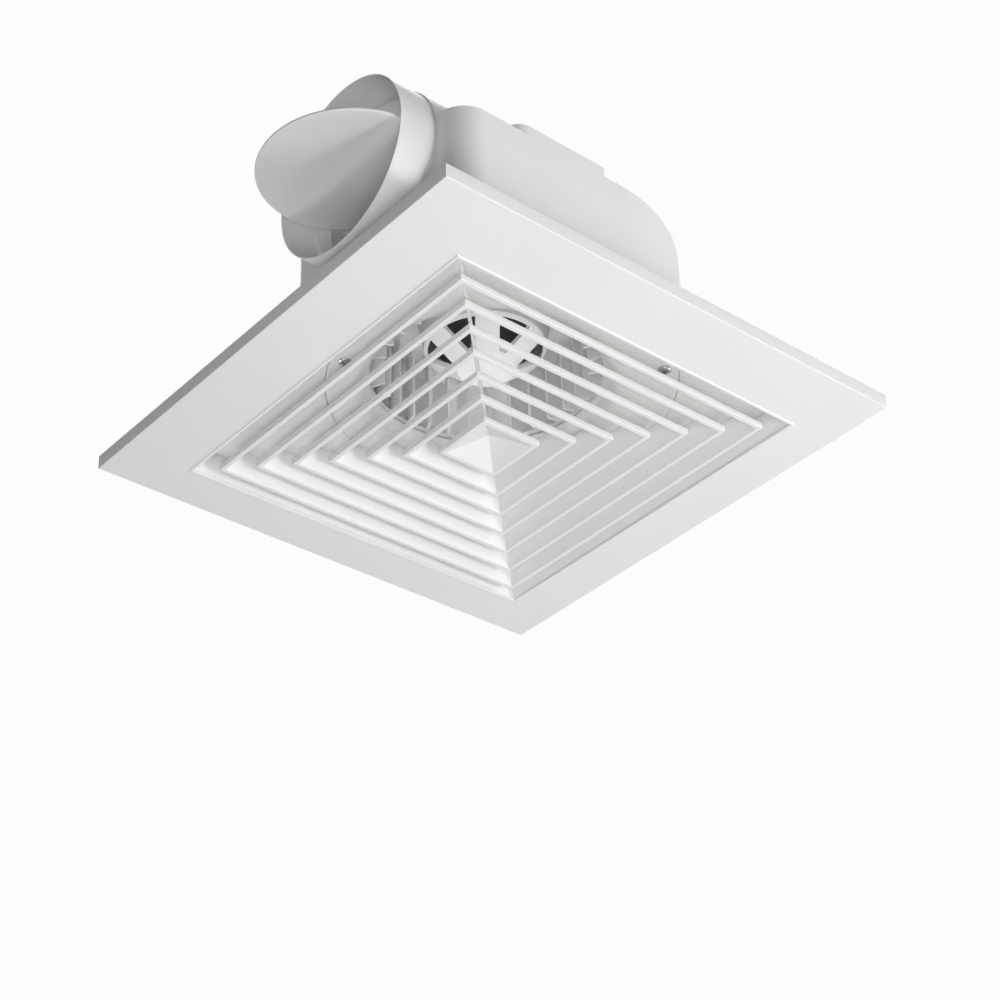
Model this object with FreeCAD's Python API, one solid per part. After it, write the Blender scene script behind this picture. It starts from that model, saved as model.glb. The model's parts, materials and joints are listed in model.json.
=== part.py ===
import FreeCAD, Part
import math
import os

from FreeCAD import Vector

# Ceiling exhaust fan. Millimetres, +Z up.
# The origin is the middle of the louvred panel, on the ceiling surface.
# The duct outlet points to -X and the long flat side faces -Y.

# Louvred panel
panel_size = 300.0
panel_rim_height = 8.4
panel_wall = 2.2
border_width = 35.0
border_drop = 5.8
lip_width = 2.0
lip_drop = 1.6
lip_height = 6.8
louvre_count = 6
louvre_first_gap = 11.0
louvre_rise = 9.4
louvre_run = 4.8
louvre_thickness = 2.4
louvre_recess = 0.1
core_half = 20.0
core_tip = 1.0
core_skin = 1.2
rib_thickness = 1.8
rib_recess = 6.4
rib_angle = 45.0

# Housing
wall = 2.5
body_height = 70.0
wall_inset = 19.0
throat_inset = 25.0
throat_reach = 9.0
throat_width = 135.0
throat_near_corner = 16.5
throat_far_corner = 6.0
scroll_radius = 97.5
wheel_shift_angle = 139.0
wheel_boss_gap = 4.3
tier_height = 6.0
tier_start = 37.0
tier_length = 59.0
tier_depth = 30.0
tier_corner = 9.0
hood_flat = 21.0
hood_run = 42.0
duct_stop = 0.8
tongue_thickness = 3.0
tongue_gap = 6.0
flange_inset = 9.0
flange_thickness = 2.5
flange_corner = 8.0
shell_seat = 0.5
ceiling_hole_radius = 2.4
ceiling_hole_inset = 8.0

# Inlet plate
plate_inset = 5.1
plate_gap = 0.3
ledge_width = 4.4
ledge_height = 2.5
inlet_radius = 61.5
bell_radius = 8.5
plate_screw_edge = 7.0
plate_screw_angles = (55.0, 311.7)
tongue_screw_turn = 0.9
plate_screw_radius = 1.75
plate_screw_length = 10.0
plate_screw_head_radius = 3.4
plate_screw_head_height = 1.8
plate_boss_radius = 5.0
plate_boss_height = 12.0
plate_boss_web = 4.0

# Outlet spigot and backdraught flap
spigot_diameter = 100.0
spigot_wall = 1.8
spigot_length = 22.0
spigot_lift = 10.0
sleeve_length = 7.0
sleeve_wall = 1.5
flap_pivot_inset = 6.5
flap_gap = 0.5
flap_thickness = 1.6
flap_barrel_radius = 1.9
flap_barrel_end_gap = 1.0
flap_open_angle = 86.3
flap_pin_radius = 1.2
flap_pin_grip = 7.0
flap_pin_end_gap = 0.6
flap_pin_cover = 0.4
flap_pin_clearance = 0.05
flap_stop_gap = 0.35
flap_stop_length = 2.0
flap_stop_width = 12.0
flap_stop_height = 4.0

# Motor
motor_arm_count = 3
motor_arm_reach = 40.0
motor_arm_width = 14.0
motor_boss_radius = 6.0
motor_boss_height = 2.0
grommet_height = 3.5
motor_screw_radius = 2.0
motor_screw_clearance = 0.3
motor_screw_head_radius = 4.0
motor_screw_head_height = 2.2
motor_screw_cover = 1.0
shell_radius = 27.0
shell_wall = 1.5
shell_plate = 1.5
shell_end_space = 8.0
stator_lip = 1.5
stack_length = 16.0
rotor_radius = 14.0
air_gap = 0.4
winding_height = 5.5
winding_inner_radius = 15.5
winding_outer_radius = 21.5
tie_reach = 23.8
tie_count = 4
tie_radius = 1.5
tie_head_radius = 3.0
tie_head_height = 2.0
bush_length = 7.0
bush_wall = 3.5
bush_clearance = 0.03
bush_boss_wall = 2.5
thrust_gap = 0.1
thrust_radius = 9.0
shaft_radius = 4.0
shaft_top_gap = 1.0
shaft_hole_clearance = 0.5

# Impeller
wheel_outer_radius = 68.0
wheel_inner_radius = 54.0
wheel_gap = 2.0
wheel_top_gap = 11.5
wheel_ring_width = 6.0
wheel_ring_thickness = 2.0
blade_count = 30
blade_thickness = 1.4
blade_mid_sweep = 2.2
blade_tip_sweep = 8.0
dish_gap = 9.5
dish_wall = 1.4
nose_radius = 15.3
nose_thickness = 2.2
cone_gap = 4.0
cone_drop = 3.4
hub_radius = 8.0
hub_length = 15.4
hub_motor_gap = 2.0
spoke_count = 6
spoke_angle = 52.6
spoke_width = 12.8
window_inner_margin = 1.0
window_outer_margin = 2.0
pin_radius = 1.2
pin_drop = 4.0

# Wiring box
box_lead_room = 17.0
box_front_room = 25.0
box_height = 24.0
box_corner = 4.0
cover_thickness = 2.5
cover_lip_height = 3.0
cover_lip_wall = 1.5
cover_lip_gap = 0.3
post_radius = 4.0
post_inset = 6.0
cover_screw_radius = 1.5
cover_screw_length = 10.0
cover_screw_head_radius = 3.0
cover_screw_head_height = 1.8
box_screw_length = 10.0
cover_hole_clearance = 0.4
lead_offset = 18.7
lead_radius = 2.6
lead_clearance = 0.6
lead_bend = 8.0
lead_entry_height = 9.5
lead_grommet_wall = 1.6
lead_grommet_flange = 2.0
lead_grommet_edge = 1.2
terminal_distance = 13.5
terminal_depth = 16.0
terminal_length = 30.0
terminal_height = 14.0
terminal_ways = 3
terminal_pitch = 9.0
terminal_screw_radius = 1.7
terminal_screw_depth = 5.0
terminal_screw_drop = 0.5
terminal_row_inset = 4.0
capacitor_gap = 3.5
capacitor_depth = 13.0
capacitor_length = 36.0
capacitor_height = 20.0
capacitor_side_gap = 0.5
capacitor_post_gap = 1.0
capacitor_lead_radius = 0.9
capacitor_lead_height = 5.0
capacitor_lead_spacing = 9.0
gland_inset = 12.0
gland_height = 12.0
gland_bore_radius = 4.0
gland_thread_radius = 6.0
gland_across_flats = 16.0
gland_collar_length = 6.0
gland_dome_radius = 7.0
gland_dome_length = 7.0
gland_nut_length = 4.0
gland_thread_tail = 1.0

# Panel clips
clip_room = 3.6
clip_spread = 70.0
clip_thickness = 0.8
clip_width = 12.0
clip_hump = 1.4
clip_hump_height = 4.0
clip_top = 8.0
clip_slot_clearance = 0.5
clip_boss_depth = 7.5
clip_boss_width = 16.0
clip_boss_bite = 1.2
clip_leg_drop = 6.2
clip_screw_drop = 3.2
clip_screw_radius = 1.4
clip_screw_length = 6.0
clip_screw_head_radius = 2.4
clip_screw_head_height = 1.6

# Shape constants
hex_sides = 6
edge_search = 0.4
hood_overrun = 1.0

# Heights and places that follow from the sizes above
panel_half = panel_size / 2
lip_half = panel_half - border_width
lip_z = -panel_rim_height - border_drop
louvre_low = lip_z + louvre_recess
louvre_high = louvre_low + louvre_rise
louvre_first_half = lip_half - louvre_first_gap
louvre_pitch = (louvre_first_half - core_half) / louvre_count
flange_half = panel_half - flange_inset
hole_half = flange_half - ceiling_hole_inset
long_wall_y = wall_inset - panel_half
throat_x = throat_inset - panel_half
inner_wall_y = long_wall_y + throat_width
scroll_x = throat_x + throat_reach + scroll_radius
scroll_y = long_wall_y + scroll_radius
roof_under = body_height - wall
spigot_radius = spigot_diameter / 2
spigot_bore = spigot_radius - spigot_wall
spigot_y = long_wall_y + throat_width / 2
spigot_z = spigot_lift + spigot_radius
mouth_x = throat_x - spigot_length
flap_x = mouth_x + flap_pivot_inset
flap_radius = spigot_bore - flap_gap
hood_radius = spigot_radius + duct_stop
hood_top = spigot_z + hood_radius
hood_end = hood_flat + hood_run
plate_radius = scroll_radius - plate_inset
plate_screw_circle = plate_radius - plate_screw_edge
wheel_shift = plate_screw_circle - plate_boss_radius - wheel_boss_gap - wheel_outer_radius
fan_x = scroll_x + wheel_shift * math.cos(math.radians(wheel_shift_angle))
fan_y = scroll_y + wheel_shift * math.sin(math.radians(wheel_shift_angle))
tongue_rise = inner_wall_y - scroll_y
tongue_x = scroll_x - math.sqrt(scroll_radius ** 2 - tongue_rise ** 2)
tongue_angle = math.degrees(math.atan2(tongue_rise, tongue_x - scroll_x))
bell_top = bell_radius - flange_thickness
motor_top = roof_under - motor_boss_height - grommet_height
upper_space_top = motor_top - shell_plate
stator_top = upper_space_top - shell_end_space
stator_bottom = stator_top - stack_length
lower_space_bottom = stator_bottom - shell_end_space
motor_bottom = lower_space_bottom - shell_plate
stator_radius = shell_radius + stator_lip
bush_radius = shaft_radius + bush_wall
bush_bore = shaft_radius + bush_clearance
bush_boss_radius = bush_radius + bush_boss_wall
thrust_thickness = shell_end_space - bush_length - thrust_gap
wheel_bottom = bell_top + wheel_gap
wheel_top = roof_under - wheel_top_gap
hub_top = motor_bottom - hub_motor_gap
hub_bottom = hub_top - hub_length
shaft_bottom = hub_bottom + nose_thickness
cone_top = motor_bottom - cone_drop
cone_radius = stator_radius + cone_gap
dish_radius = stator_radius + dish_gap
pin_z = hub_top - pin_drop
lead_x = fan_x + lead_offset
lead_hole = lead_radius + lead_clearance
lead_grommet_radius = lead_hole + lead_grommet_wall
terminal_x = lead_x + terminal_distance
capacitor_x = terminal_x + terminal_depth + capacitor_gap
box_left = lead_x - box_lead_room
box_right = capacitor_x + capacitor_depth + capacitor_side_gap + wall
box_front = fan_y - box_front_room
capacitor_y = box_front + wall + capacitor_side_gap
box_back = capacitor_y + capacitor_length + capacitor_post_gap + post_radius + post_inset
box_top = body_height + box_height
gland_x = box_left + gland_inset
gland_z = body_height + gland_height
clip_x = clip_room - throat_x


def cylinder(radius, height, x, y, z):
    return Part.makeCylinder(radius, height, Vector(x, y, z))


def tube(outer, inner, height, x, y, z):
    return cylinder(outer, height, x, y, z).cut(cylinder(inner, height, x, y, z))


def lying_x(radius, length, x, y, z):
    return Part.makeCylinder(radius, length, Vector(x, y, z), Vector(1, 0, 0))


def lying_y(radius, length, x, y, z):
    return Part.makeCylinder(radius, length, Vector(x, y, z), Vector(0, 1, 0))


def block(x0, y0, z0, x1, y1, z1):
    return Part.makeBox(x1 - x0, y1 - y0, z1 - z0, Vector(x0, y0, z0))


def fused(shapes):
    return shapes[0].multiFuse(shapes[1:]).removeSplitter()


def round_upright(solid, x, y, radius):
    def stands_at(edge):
        ends = edge.Vertexes
        return all(math.hypot(v.X - x, v.Y - y) < edge_search for v in ends)
    return solid.makeFillet(radius, [e for e in solid.Edges if stands_at(e)])


def rounded_block(x0, y0, z0, x1, y1, z1, radius):
    solid = block(x0, y0, z0, x1, y1, z1)
    for x in (x0, x1):
        for y in (y0, y1):
            solid = round_upright(solid, x, y, radius)
    return solid


def square_wire(half, z):
    corners = [(-half, -half), (half, -half), (half, half), (-half, half), (-half, -half)]
    return Part.makePolygon([Vector(x, y, z) for x, y in corners])


def square_taper(low_half, low_z, high_half, high_z):
    return Part.makeLoft([square_wire(low_half, low_z), square_wire(high_half, high_z)], True, True)


def square_prism(half, low_z, high_z):
    return block(-half, -half, low_z, half, half, high_z)


def slab_xz(points, y0, y1):
    outline = [Vector(x, y0, z) for x, z in points]
    face = Part.Face(Part.makePolygon(outline + outline[:1]))
    return face.extrude(Vector(0, y1 - y0, 0))


def hexagon(across_flats, height):
    radius = across_flats / 2 / math.cos(math.pi / hex_sides)
    turns = [math.tau * i / hex_sides for i in range(hex_sides + 1)]
    outline = Part.makePolygon([Vector(radius * math.cos(t), radius * math.sin(t), 0) for t in turns])
    return Part.Face(outline).extrude(Vector(0, 0, height))


def polar(radius, degrees, z=0.0):
    turn = math.radians(degrees)
    return Vector(fan_x + radius * math.cos(turn), fan_y + radius * math.sin(turn), z)


def around_fan(shape, count):
    copies = []
    for i in range(count):
        copy = shape.copy()
        copy.rotate(Vector(fan_x, fan_y, 0), Vector(0, 0, 1), 360 * i / count)
        copies.append(copy)
    return copies


def pan_screw(shank_radius, shank_length, head_radius, head_height):
    shank = Part.makeCylinder(shank_radius, shank_length)
    head = Part.makeCylinder(head_radius, head_height, Vector(0, 0, -head_height))
    head = head.makeFillet(head_height / 2, [e for e in head.Edges if e.BoundBox.ZMax < -head_height / 2])
    return fused([shank, head])


def placed(shape, position, turn_axis=Vector(0, 0, 1), turn=0.0):
    copy = shape.copy()
    copy.rotate(Vector(0, 0, 0), turn_axis, turn)
    copy.translate(position)
    return copy


# Panel: sloping border, inner lip, mitred louvre rings and a hollow pyramid on one diagonal rib
def border_z(half):
    return -panel_rim_height - border_drop * (panel_half - half) / border_width


def clip_places():
    return [(side, side * clip_x, y) for side in (-1, 1) for y in (-clip_spread, clip_spread)]


def grille_panel():
    rim = square_prism(panel_half, -panel_rim_height, 0)
    rim = rim.cut(square_prism(panel_half - panel_wall, -panel_rim_height, 0))
    slope = square_taper(lip_half, lip_z, panel_half, -panel_rim_height)
    hollow = slope.copy()
    hollow.translate(Vector(0, 0, panel_wall))
    skin = slope.cut(hollow)
    lip_low = lip_z - lip_drop
    lip = square_prism(lip_half, lip_low, lip_low + lip_height)
    opening = square_prism(lip_half - lip_width, lip_low, lip_low + lip_height)
    pieces = [rim, skin.cut(opening), lip.cut(opening)]
    rings = [louvre_first_half - i * louvre_pitch for i in range(louvre_count)]
    for half in [lip_half] + rings:
        outside = square_taper(half, louvre_low, half - louvre_run, louvre_high)
        inside_half = half - louvre_thickness
        inside = square_taper(inside_half, louvre_low, inside_half - louvre_run, louvre_high)
        pieces.append(outside.cut(inside))
    core = square_taper(core_half, louvre_low, core_tip, louvre_high)
    core_hollow = core.copy()
    core_hollow.translate(Vector(0, 0, -core_skin))
    pieces.append(core.cut(core_hollow))
    rib_half = (lip_half - lip_width / 2) * math.sqrt(2)
    rib_side = rib_thickness / 2
    rib = block(-rib_half, -rib_side, louvre_low + rib_recess, rib_half, rib_side, louvre_high)
    pieces.append(placed(rib, Vector(0, 0, 0), turn=rib_angle).cut(core_hollow))
    for side, x, y in clip_places():
        near = x + side * clip_thickness / 2
        far = near + side * clip_boss_depth
        low = border_z(abs(far)) + panel_wall - clip_boss_bite
        boss = block(min(near, far), y - clip_boss_width / 2, low,
                     max(near, far), y + clip_boss_width / 2, -flange_thickness)
        pieces.append(boss)
    panel = fused(pieces)
    for side, x, y in clip_places():
        reach = clip_screw_length * side
        hole = lying_x(clip_screw_radius, clip_screw_length, min(x, x + reach), y, clip_screw_z())
        panel = panel.cut(hole)
    return panel


def clip_screw_z():
    return -flange_thickness - clip_screw_drop


# Spring clips: a flat leg on the panel boss, with a hump above the flange
def clip_outline():
    half = clip_thickness / 2
    middle = clip_hump_height / 2
    low = -flange_thickness - clip_leg_drop
    inner = [(-half, low), (-half, clip_top - clip_hump_height), (-half - clip_hump, clip_top - middle),
             (-half, clip_top)]
    outer = [(half, clip_top), (half - clip_hump, clip_top - middle), (half, clip_top - clip_hump_height),
             (half, low)]
    return inner + outer


def grille_clips():
    clips = []
    for side, x, y in clip_places():
        strip = slab_xz(clip_outline(), -clip_width / 2, clip_width / 2)
        hole = lying_x(clip_screw_radius, clip_thickness, -clip_thickness / 2, 0, clip_screw_z())
        strip = strip.cut(hole)
        clips.append(placed(strip, Vector(x, y, 0), turn=0 if side > 0 else 180))
    return Part.makeCompound(clips)


def clip_screws():
    screws = []
    screw = pan_screw(clip_screw_radius, clip_screw_length, clip_screw_head_radius, clip_screw_head_height)
    for side, x, y in clip_places():
        seat = Vector(x - side * clip_thickness / 2, y, clip_screw_z())
        screws.append(placed(screw, seat, Vector(0, 1, 0), 90 * side))
    return Part.makeCompound(screws)


# Housing: scroll and throat box, raised tier, round hood over the outlet
def body_prism(inset, low_z, high_z):
    left = throat_x + inset
    front = long_wall_y + inset
    back = inner_wall_y - inset
    throat = block(left, front, low_z, scroll_x, back, high_z)
    throat = round_upright(throat, left, front, throat_near_corner - inset)
    throat = round_upright(throat, left, back, throat_far_corner - inset)
    scroll = cylinder(scroll_radius - inset, high_z - low_z, scroll_x, scroll_y, low_z)
    return fused([scroll, throat])


def tier_prism(inset, low_z, high_z):
    x0 = throat_x + tier_start + inset
    x1 = throat_x + tier_start + tier_length - inset
    y0 = long_wall_y + inset
    tier = block(x0, y0, low_z, x1, long_wall_y + tier_depth - inset, high_z)
    return round_upright(tier, x0, y0, tier_corner - inset)


def hood_solid(radius, start_x, setback):
    slope = (hood_top - body_height) / hood_run
    end_z = body_height - slope * hood_overrun
    end_x = throat_x + hood_end + hood_overrun - setback
    outline = [(start_x, spigot_z), (start_x, hood_top), (throat_x + hood_flat - setback, hood_top),
               (end_x, end_z), (end_x, spigot_z)]
    barrel = lying_x(radius, hood_end + spigot_length, mouth_x, spigot_y, spigot_z)
    return barrel.common(slab_xz(outline, spigot_y - radius, spigot_y + radius))


def hood_setback():
    slope = math.atan2(hood_top - body_height, hood_run)
    return wall / math.sin(slope)


# Ceiling flange: flat plate with a ledge that the inlet plate seats under
def ceiling_flange():
    plate = rounded_block(-flange_half, -flange_half, -flange_thickness, flange_half, flange_half, 0,
                          flange_corner)
    cuts = [cylinder(plate_radius + plate_gap, flange_thickness, scroll_x, scroll_y, -flange_thickness)]
    for x in (-hole_half, hole_half):
        for y in (-hole_half, hole_half):
            cuts.append(cylinder(ceiling_hole_radius, flange_thickness, x, y, -flange_thickness))
    middle = cylinder(scroll_radius - wall, shell_seat, scroll_x, scroll_y, -shell_seat)
    cuts.append(body_prism(0, -shell_seat, 0).cut(middle))
    reach = clip_thickness / 2 + clip_slot_clearance
    half_width = clip_width / 2 + clip_slot_clearance
    for side, x, y in clip_places():
        ends = (x - side * (reach + clip_hump), x + side * reach)
        cuts.append(block(min(ends), y - half_width, -flange_thickness, max(ends), y + half_width, 0))
    ledge = tube(scroll_radius - wall, plate_radius - ledge_width, ledge_height, scroll_x, scroll_y, 0)
    holes = [cylinder(plate_screw_radius, ledge_height, p.x, p.y, p.z) for p in plate_screw_points(0)]
    return fused([plate.cut(Part.makeCompound(cuts)), ledge]).cut(Part.makeCompound(holes))


def motor_arm_angles():
    return [360 * i / motor_arm_count for i in range(motor_arm_count)]


def cover_posts():
    return [(box_left + post_inset, box_front + post_inset), (box_right - post_inset, box_back - post_inset)]


# Wiring box: walls and posts that stand on the roof, screwed up from inside
def wiring_box():
    outside = rounded_block(box_left, box_front, body_height, box_right, box_back, box_top, box_corner)
    inside = rounded_block(box_left + wall, box_front + wall, body_height, box_right - wall, box_back - wall,
                           box_top, box_corner - wall)
    posts = [cylinder(post_radius, box_height, x, y, body_height) for x, y in cover_posts()]
    pilot = cover_screw_length - cover_thickness
    holes = [cylinder(cover_screw_radius, pilot, x, y, box_top - pilot) for x, y in cover_posts()]
    holes += box_screw_holes()
    holes.append(lying_y(gland_thread_radius, wall, gland_x, box_back - wall, gland_z))
    return fused([outside.cut(inside)] + posts).cut(Part.makeCompound(holes))


def box_screw_holes():
    return [cylinder(cover_screw_radius, box_screw_length, x, y, roof_under) for x, y in cover_posts()]


def box_screws():
    screw = pan_screw(cover_screw_radius, box_screw_length, cover_screw_head_radius, cover_screw_head_height)
    return Part.makeCompound([placed(screw, Vector(x, y, roof_under)) for x, y in cover_posts()])


def screw_boss():
    height = plate_boss_height - ledge_height
    start = scroll_x + plate_screw_circle
    post = cylinder(plate_boss_radius, height, start, scroll_y, ledge_height)
    web = block(start, scroll_y - plate_boss_web / 2, ledge_height, scroll_x + scroll_radius - wall / 2,
                scroll_y + plate_boss_web / 2, plate_boss_height)
    return fused([post, web])


def turned(shape, x, y, degrees):
    copy = shape.copy()
    copy.rotate(Vector(x, y, 0), Vector(0, 0, 1), degrees)
    return copy


# Tongue: a fin from the corner between scroll and throat towards the wheel
def tongue():
    reach = math.hypot(tongue_x - fan_x, inner_wall_y - fan_y) - wall / 2
    fin = block(fan_x + wheel_outer_radius + tongue_gap, fan_y - tongue_thickness / 2, ledge_height,
                fan_x + reach, fan_y + tongue_thickness / 2, roof_under)
    return turned(fin, fan_x, fan_y, math.degrees(math.atan2(inner_wall_y - fan_y, tongue_x - fan_x)))


def housing_shell():
    outside = fused([body_prism(0, -shell_seat, body_height), tier_prism(0, 0, body_height + tier_height),
                     hood_solid(hood_radius, throat_x, 0)])
    inside = fused([body_prism(wall, -shell_seat, roof_under), tier_prism(wall, 0, roof_under + tier_height),
                    hood_solid(hood_radius - wall, throat_x + wall, hood_setback())])
    outlet = lying_x(spigot_radius - wall, spigot_length + sleeve_length, mouth_x, spigot_y, spigot_z)
    shell = outside.cut(inside).cut(outlet)
    bosses = [turned(screw_boss(), scroll_x, scroll_y, angle) for angle in plate_screw_turns()]
    hangers = [cylinder(motor_boss_radius, motor_boss_height, p.x, p.y, roof_under - motor_boss_height)
               for p in (polar(motor_arm_reach, angle) for angle in motor_arm_angles())]
    solid = fused([shell, tongue()] + bosses + hangers)
    screw_hole = plate_screw_length - flange_thickness
    holes = [cylinder(plate_screw_radius, screw_hole, p.x, p.y, p.z) for p in plate_screw_points(0)]
    motor_hole_length = motor_boss_height + wall - motor_screw_cover
    for angle in motor_arm_angles():
        p = polar(motor_arm_reach, angle, roof_under - motor_boss_height)
        holes.append(cylinder(motor_screw_radius, motor_hole_length, p.x, p.y, p.z))
    holes.append(cylinder(lead_grommet_radius, wall, lead_x, fan_y, roof_under))
    return solid.cut(Part.makeCompound(holes + box_screw_holes()))


# Inlet plate: flat round plate with a rolled bell mouth under the wheel, one screw beside the tongue
def plate_screw_turns():
    return list(plate_screw_angles) + [tongue_angle + tongue_screw_turn]


def plate_screw_points(z):
    first = Part.Vertex(scroll_x + plate_screw_circle, scroll_y, z)
    return [turned(first, scroll_x, scroll_y, angle).Point for angle in plate_screw_turns()]


def inlet_plate():
    bell_x = inlet_radius + bell_radius
    inner = bell_radius - flange_thickness
    lean = math.sqrt(0.5)

    def on_bell(radius, x_share, z_share):
        return Vector(bell_x - radius * x_share, 0, bell_top - radius * z_share)
    low_arc = Part.Arc(on_bell(bell_radius, 0, 1), on_bell(bell_radius, lean, lean),
                       on_bell(bell_radius, 1, 0))
    high_arc = Part.Arc(on_bell(inner, 1, 0), on_bell(inner, lean, lean), on_bell(inner, 0, 1))
    edges = [low_arc.toShape(), Part.makeLine(on_bell(bell_radius, 1, 0), on_bell(inner, 1, 0)),
             high_arc.toShape(), Part.makeLine(on_bell(inner, 0, 1), on_bell(bell_radius, 0, 1))]
    bell = Part.Face(Part.Wire(edges)).revolve(Vector(0, 0, 0), Vector(0, 0, 1), 360)
    disc = cylinder(plate_radius, flange_thickness, scroll_x, scroll_y, -flange_thickness)
    mouth = cylinder(bell_x, flange_thickness, fan_x, fan_y, -flange_thickness)
    plate = fused([disc.cut(mouth), placed(bell, Vector(fan_x, fan_y, 0))])
    holes = [cylinder(plate_screw_radius, flange_thickness, p.x, p.y, p.z)
             for p in plate_screw_points(-flange_thickness)]
    return plate.cut(Part.makeCompound(holes))


def inlet_screws():
    screw = pan_screw(plate_screw_radius, plate_screw_length, plate_screw_head_radius,
                      plate_screw_head_height)
    return Part.makeCompound([placed(screw, p) for p in plate_screw_points(-flange_thickness)])


# Outlet spigot: round collar with a sleeve that plugs into the throat face
def outlet_spigot():
    collar = lying_x(spigot_radius, spigot_length, mouth_x, spigot_y, spigot_z)
    bore = lying_x(spigot_bore, spigot_length - spigot_wall, mouth_x, spigot_y, spigot_z)
    plug_radius = spigot_radius - wall
    plug = lying_x(plug_radius, sleeve_length, throat_x, spigot_y, spigot_z)
    through = lying_x(plug_radius - sleeve_wall, spigot_length + sleeve_length, mouth_x, spigot_y, spigot_z)
    body = fused([collar.cut(bore), plug]).cut(through)
    stop_x = flap_x + flap_thickness / 2 + flap_stop_gap
    stop_low = spigot_z - spigot_bore - spigot_wall / 2
    stop = block(stop_x, spigot_y - flap_stop_width / 2, stop_low, stop_x + flap_stop_length,
                 spigot_y + flap_stop_width / 2, spigot_z - spigot_bore + flap_stop_height)
    body = fused([body, stop])
    reach = spigot_radius - flap_pin_cover
    pivot = lying_y(flap_pin_radius + flap_pin_clearance, 2 * reach, flap_x, spigot_y - reach, spigot_z)
    return body.cut(pivot)


# Flap: thin round disc on a barrel along its diameter, drawn open as photographed
def opened(shape):
    shape.rotate(Vector(flap_x, spigot_y, spigot_z), Vector(0, 1, 0), flap_open_angle)
    return shape


def flap_pin_length():
    return flap_pin_grip + flap_barrel_end_gap + flap_gap + spigot_wall - flap_pin_end_gap


def pin_cores(radius):
    length = flap_pin_length()
    start = flap_radius - flap_barrel_end_gap - flap_pin_grip
    near = lying_y(radius, length, flap_x, spigot_y - start - length, spigot_z)
    far = lying_y(radius, length, flap_x, spigot_y + start, spigot_z)
    return [near, far]


def damper_flap():
    disc = lying_x(flap_radius, flap_thickness, flap_x - flap_thickness / 2, spigot_y, spigot_z)
    half = flap_radius - flap_barrel_end_gap
    barrel = lying_y(flap_barrel_radius, 2 * half, flap_x, spigot_y - half, spigot_z)
    flap = fused([disc, barrel]).cut(Part.makeCompound(pin_cores(flap_pin_radius)))
    return opened(flap)


def flap_pins():
    return Part.makeCompound(pin_cores(flap_pin_radius))


# Motor: two pressed shells either side of a laminated stator, hung from the roof on grommets
def tie_points(z):
    return [polar(tie_reach, 360 * (i + 0.5) / tie_count, z) for i in range(tie_count)]


def tie_holes():
    height = motor_top - motor_bottom
    return [cylinder(tie_radius, height, p.x, p.y, p.z) for p in tie_points(motor_bottom)]


def shell_can(plate_low, plate_high, can_low, can_high, boss_low):
    plate = cylinder(shell_radius, plate_high - plate_low, fan_x, fan_y, plate_low)
    can = tube(shell_radius, shell_radius - shell_wall, can_high - can_low, fan_x, fan_y, can_low)
    boss = tube(bush_boss_radius, bush_radius, bush_length, fan_x, fan_y, boss_low)
    return [plate, can, boss]


def motor_upper_shell():
    pieces = shell_can(upper_space_top, motor_top, stator_top, upper_space_top, upper_space_top - bush_length)
    arm_start = fan_x + bush_boss_radius
    arm_end = fan_x + motor_arm_reach
    arm = block(arm_start, fan_y - motor_arm_width / 2, upper_space_top, arm_end,
                fan_y + motor_arm_width / 2, motor_top)
    tip = cylinder(motor_arm_width / 2, shell_plate, arm_end, fan_y, upper_space_top)
    hole = cylinder(motor_screw_radius + motor_screw_clearance, shell_plate, arm_end, fan_y, upper_space_top)
    arms = around_fan(fused([arm, tip]), motor_arm_count)
    holes = around_fan(hole, motor_arm_count)
    holes.append(cylinder(lead_hole, shell_plate, lead_x, fan_y, upper_space_top))
    return fused(pieces + arms).cut(Part.makeCompound(holes + tie_holes()))


def motor_lower_shell():
    pieces = shell_can(motor_bottom, lower_space_bottom, lower_space_bottom, stator_bottom,
                       lower_space_bottom)
    shaft_hole = cylinder(shaft_radius + shaft_hole_clearance, shell_plate, fan_x, fan_y, motor_bottom)
    return fused(pieces).cut(Part.makeCompound([shaft_hole] + tie_holes()))


def tie_screws():
    screws = []
    for p in tie_points(motor_bottom):
        rod = cylinder(tie_radius, motor_top - motor_bottom, p.x, p.y, p.z)
        head = cylinder(tie_head_radius, tie_head_height, p.x, p.y, p.z - tie_head_height)
        nut = cylinder(tie_head_radius, tie_head_height, p.x, p.y, motor_top)
        screws.append(fused([rod, head, nut]))
    return Part.makeCompound(screws)


def stator_core():
    core = tube(stator_radius, rotor_radius + air_gap, stack_length, fan_x, fan_y, stator_bottom)
    return core.cut(Part.makeCompound(tie_holes()))


def stator_windings():
    lows = (stator_top, stator_bottom - winding_height)
    rings = [tube(winding_outer_radius, winding_inner_radius, winding_height, fan_x, fan_y, z) for z in lows]
    return Part.makeCompound(rings)


def bush(low_z):
    return tube(bush_radius, bush_bore, bush_length, fan_x, fan_y, low_z)


def motor_grommets():
    ring = tube(motor_boss_radius, motor_screw_radius + motor_screw_clearance, grommet_height,
                fan_x + motor_arm_reach, fan_y, motor_top)
    return Part.makeCompound(around_fan(ring, motor_arm_count))


def motor_screws():
    length = shell_plate + grommet_height + motor_boss_height + wall - motor_screw_cover
    screw = pan_screw(motor_screw_radius, length, motor_screw_head_radius, motor_screw_head_height)
    first = placed(screw, Vector(fan_x + motor_arm_reach, fan_y, upper_space_top))
    return Part.makeCompound(around_fan(first, motor_arm_count))


# Rotor, shaft and impeller
def rotor_core():
    return tube(rotor_radius, shaft_radius, stack_length, fan_x, fan_y, stator_bottom)


def drive_pin_bore():
    return lying_x(pin_radius, 2 * hub_radius, fan_x - hub_radius, fan_y, pin_z)


def motor_shaft():
    top = upper_space_top - shaft_top_gap
    return cylinder(shaft_radius, top - shaft_bottom, fan_x, fan_y, shaft_bottom).cut(drive_pin_bore())


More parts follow.
